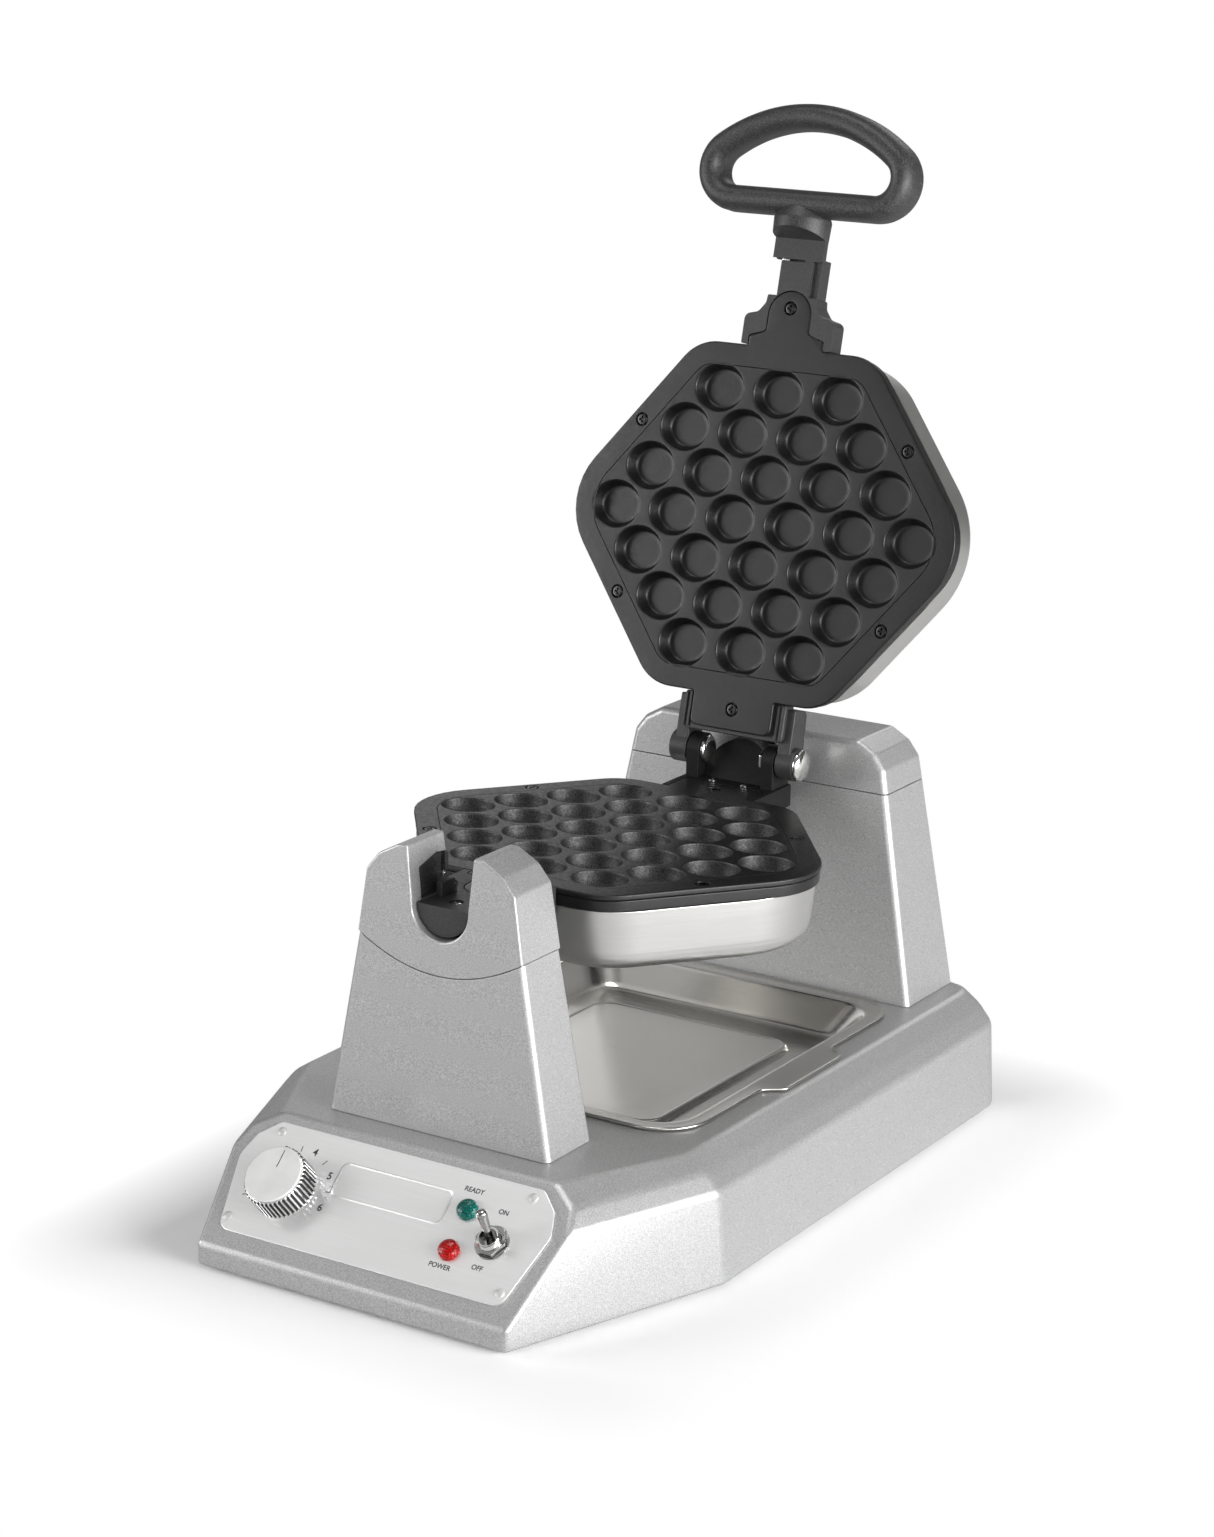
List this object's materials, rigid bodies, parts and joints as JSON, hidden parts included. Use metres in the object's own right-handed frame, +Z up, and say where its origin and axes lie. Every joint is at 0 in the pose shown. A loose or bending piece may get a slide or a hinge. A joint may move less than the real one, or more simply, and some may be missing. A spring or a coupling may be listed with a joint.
{
  "type": "rotary bubble waffle maker",
  "caption": "Countertop rotary bubble waffle iron, lid open: hinged hexagonal plates turn between two pillars on a base with a sloped control panel, drip tray and D-shaped grip.",
  "frame": {"origin": "centre of the bounding box's underside: on the table, between the feet, at the middle of the machine's length and width", "axes": "+Z up, +Y from the control panel towards the rear pillar, +X to the right seen from the control panel; the rotor's flip axis runs along Y at z = 0.1745 m"},
  "size_m": [0.2596, 0.4284, 0.5199],
  "materials": {
    "silver_paint": "silver-grey metallic textured paint, satin",
    "brushed_steel": "brushed stainless sheet, fine straight grain",
    "control_plate_steel": "light brushed control plate with printed scale and switch markings",
    "cast_dark": "dark grey non-stick coated casting, fine-grained satin",
    "black_plastic": "black speckled heat-resistant moulding, satin",
    "black_rubber": "soft black rubber",
    "bright_steel": "bright plated steel hardware",
    "knob_chrome": "ribbed bright skirt",
    "ivory_plastic": "glossy off-white with a dark pointer line",
    "green_lens": "faceted green indicator lens",
    "red_lens": "faceted red indicator lens"
  },
  "bodies": {
    "base": {"base_housing": "silver_paint", "bottom_cover": "silver_paint", "foot_front_left": "black_rubber", "foot_front_right": "black_rubber", "foot_rear_left": "black_rubber", "foot_rear_right": "black_rubber", "cord_strain_relief": "black_rubber", "power_cord": "black_rubber", "front_pillar": "silver_paint", "front_pillar_cap": "silver_paint", "lock_keeper": "black_plastic", "rear_pillar": "silver_paint", "rear_pillar_cap": "silver_paint", "rear_bearing": "bright_steel", "control_plate": "control_plate_steel", "panel_rivet_upper_left": "bright_steel", "panel_rivet_lower_left": "bright_steel", "panel_rivet_upper_right": "bright_steel", "panel_rivet_lower_right": "bright_steel", "thermostat": "bright_steel", "ready_lamp": "green_lens", "power_lamp": "red_lens", "switch_body": "bright_steel", "switch_nut": "bright_steel"},
    "rotor": {"rotor_hub": "cast_dark", "lower_hinge_bracket": "cast_dark", "lower_plate": "cast_dark", "lower_ring": "cast_dark", "lower_shell": "brushed_steel", "lower_heater": "cast_dark", "front_trunnion": "cast_dark", "trunnion_set_screw": "bright_steel", "hinge_pin_left": "bright_steel", "hinge_pin_right": "bright_steel", "hinge_nut_left": "bright_steel", "hinge_nut_right": "bright_steel", "lower_screw_front_left": "bright_steel", "lower_screw_front_right": "bright_steel", "lower_screw_rear_left": "bright_steel", "lower_screw_rear_right": "bright_steel", "lower_screw_tongue_front": "bright_steel", "lower_screw_tongue_rear": "bright_steel"},
    "lid": {"upper_plate": "cast_dark", "upper_ring": "cast_dark", "upper_shell": "brushed_steel", "upper_heater": "cast_dark", "upper_hinge_bracket": "cast_dark", "handle_arm": "cast_dark", "handle_grip": "black_plastic", "upper_screw_front_left": "bright_steel", "upper_screw_front_right": "bright_steel", "upper_screw_rear_left": "bright_steel", "upper_screw_rear_right": "bright_steel", "upper_screw_tongue_front": "bright_steel", "upper_screw_tongue_rear": "bright_steel"},
    "latch": {"latch_pin": "bright_steel"},
    "tray": {"drip_tray": "brushed_steel"},
    "knob": {"thermostat_knob": "knob_chrome", "knob_face": "ivory_plastic"},
    "toggle": {"toggle_lever": "bright_steel"}
  },
  "joints": [
    {"name": "rotor_flip", "type": "hinge", "parent": "base", "child": "rotor", "pos_m": [0, 0, 0.1745], "axis": [0, 1, 0], "range_deg": [0, 15]},
    {"name": "lid_hinge", "type": "hinge", "parent": "rotor", "child": "lid", "pos_m": [0, 0.1295, 0.1879], "axis": [1, 0, 0], "range_deg": [0, 103.8]},
    {"name": "latch_slide", "type": "slide", "parent": "lid", "child": "latch", "axis": [1, 0, 0], "range_m": [0, 0.005]},
    {"name": "tray_lift", "type": "slide", "parent": "base", "child": "tray", "axis": [0, 0, 1], "range_m": [0, 0.03]},
    {"name": "knob_turn", "type": "hinge", "parent": "base", "child": "knob", "pos_m": [-0.054, -0.18725, 0.03791], "axis": [0, -0.6743, 0.7385], "range_deg": [-116, 110]},
    {"name": "toggle_throw", "type": "hinge", "parent": "base", "child": "toggle", "pos_m": [0.0615, -0.18749, 0.0404], "axis": [1, 0, 0], "range_deg": [0, 32]}
  ]
}
